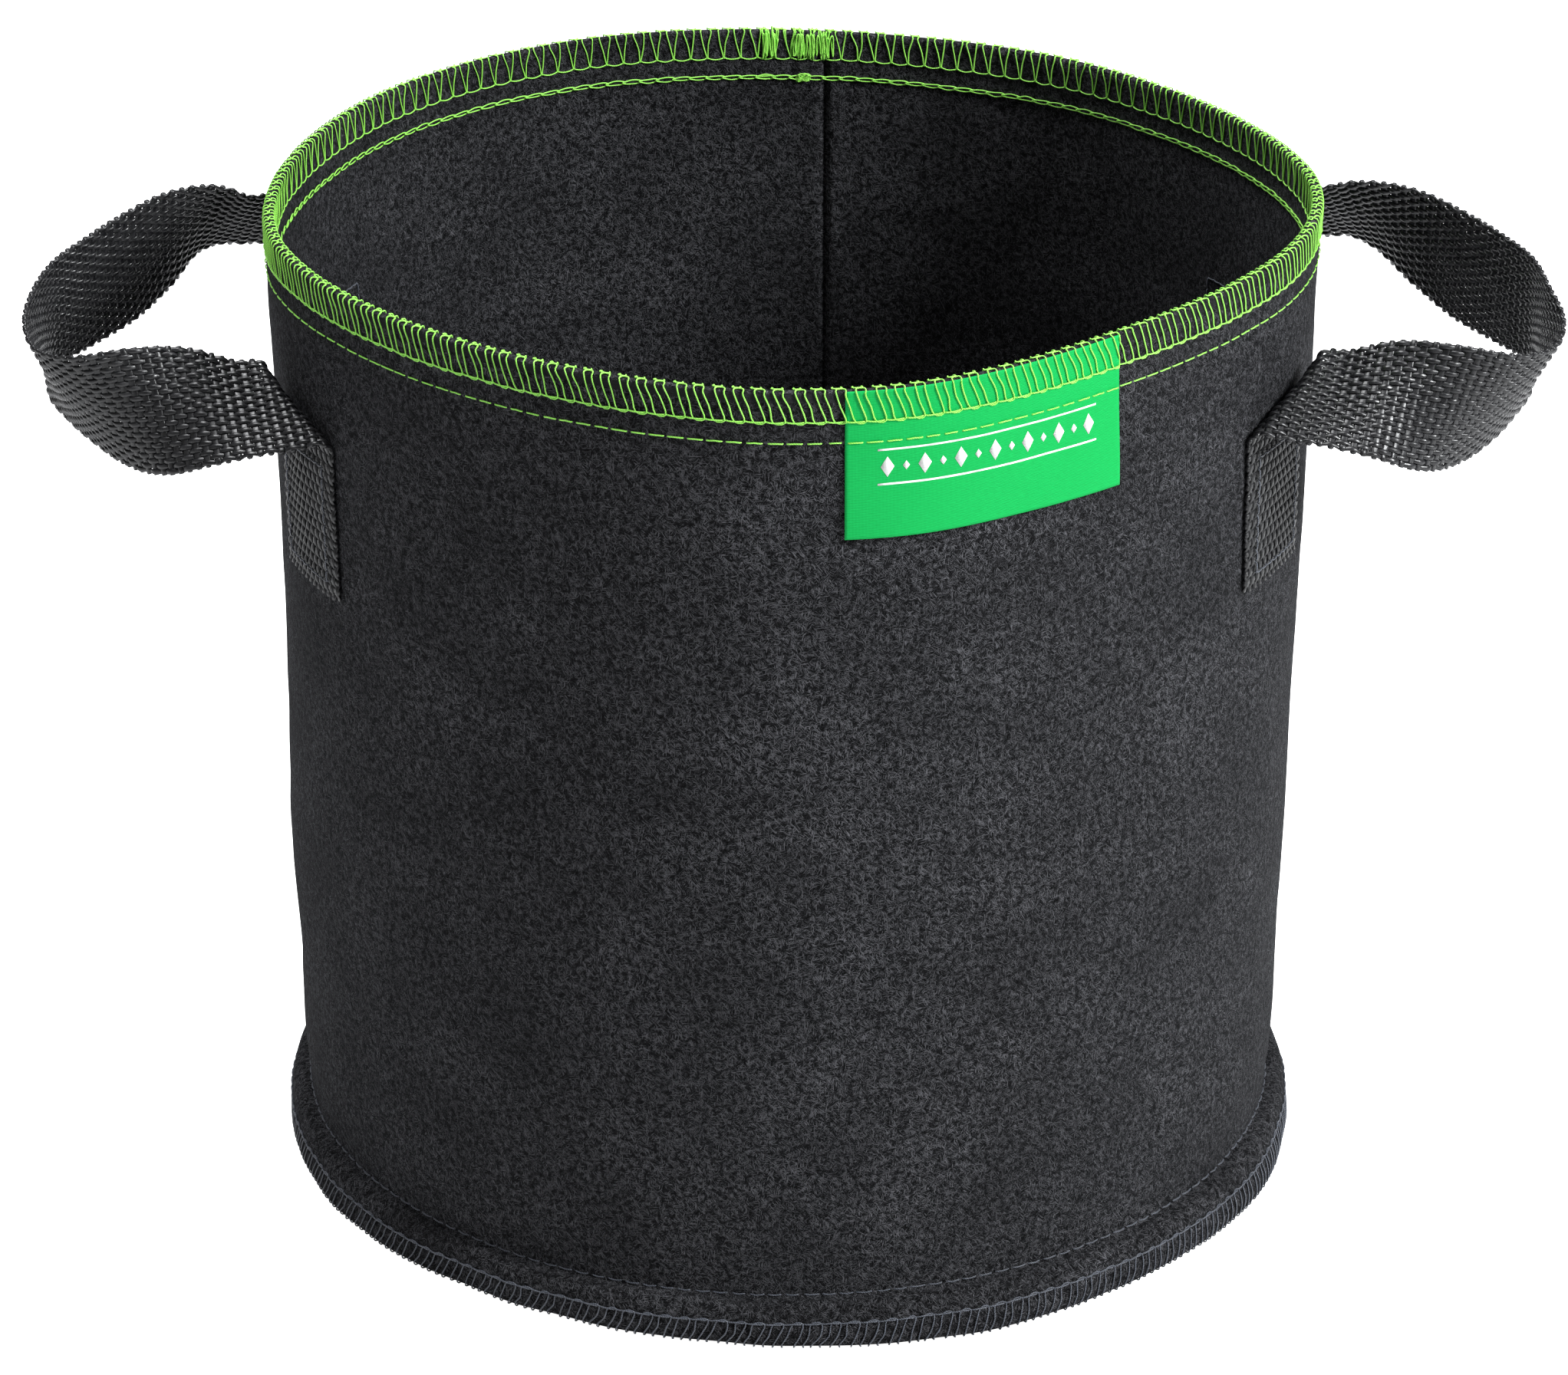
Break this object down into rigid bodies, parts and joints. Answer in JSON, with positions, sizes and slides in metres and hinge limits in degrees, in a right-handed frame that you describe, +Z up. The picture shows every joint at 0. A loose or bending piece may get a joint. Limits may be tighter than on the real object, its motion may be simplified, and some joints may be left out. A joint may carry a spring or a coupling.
{
  "type": "fabric grow bag",
  "caption": "Round black felt grow bag with a stitched base, two webbing loop handles, a bright green safety-stitched rim and a green woven side label.",
  "frame": {"origin": "centre of the flat underside of the base, where the bag rests", "axes": "+Z up, +X through the right handle, -Y towards the side with the label"},
  "size_m": [0.362, 0.2565, 0.2444],
  "materials": {
    "felt": "matte needle-punched felt",
    "webbing": "woven polypropylene webbing, slight sheen",
    "label": "satin woven label",
    "rim_thread": "shiny textured polyester thread",
    "black_thread": "shiny textured polyester thread"
  },
  "bodies": {
    "root": {"wall_panel": "felt", "base_panel": "felt", "woven_label": "label", "rim_overlock_needle_thread": "rim_thread", "rim_upper_looper_thread": "rim_thread", "rim_lower_looper_thread": "rim_thread", "rim_chain_needle_thread": "rim_thread", "rim_chain_looper_thread": "rim_thread", "base_overlock_needle_thread": "black_thread", "base_upper_looper_thread": "black_thread", "base_lower_looper_thread": "black_thread", "base_chain_needle_thread": "black_thread", "base_chain_looper_thread": "black_thread", "back_seam_overlock_needle_thread": "black_thread", "back_seam_upper_looper_thread": "black_thread", "back_seam_lower_looper_thread": "black_thread", "back_seam_chain_needle_thread": "black_thread", "back_seam_chain_looper_thread": "black_thread", "left_front_webbing_end": "webbing", "left_front_tack_needle_thread": "black_thread", "left_front_tack_bobbin_thread": "black_thread", "left_rear_webbing_end": "webbing", "left_rear_tack_needle_thread": "black_thread", "left_rear_tack_bobbin_thread": "black_thread", "right_front_webbing_end": "webbing", "right_front_tack_needle_thread": "black_thread", "right_front_tack_bobbin_thread": "black_thread", "right_rear_webbing_end": "webbing", "right_rear_tack_needle_thread": "black_thread", "right_rear_tack_bobbin_thread": "black_thread"},
    "left_handle": {"left_handle_loop": "webbing"},
    "right_handle": {"right_handle_loop": "webbing"}
  },
  "joints": [
    {"name": "left_handle_swing", "type": "hinge", "parent": "root", "child": "left_handle", "pos_m": [-0.124, 0, 0.212], "axis": [0, 1, 0], "range_deg": [-60, 75]},
    {"name": "right_handle_swing", "type": "hinge", "parent": "root", "child": "right_handle", "pos_m": [0.124, 0, 0.212], "axis": [0, -1, 0], "range_deg": [-60, 75]}
  ]
}
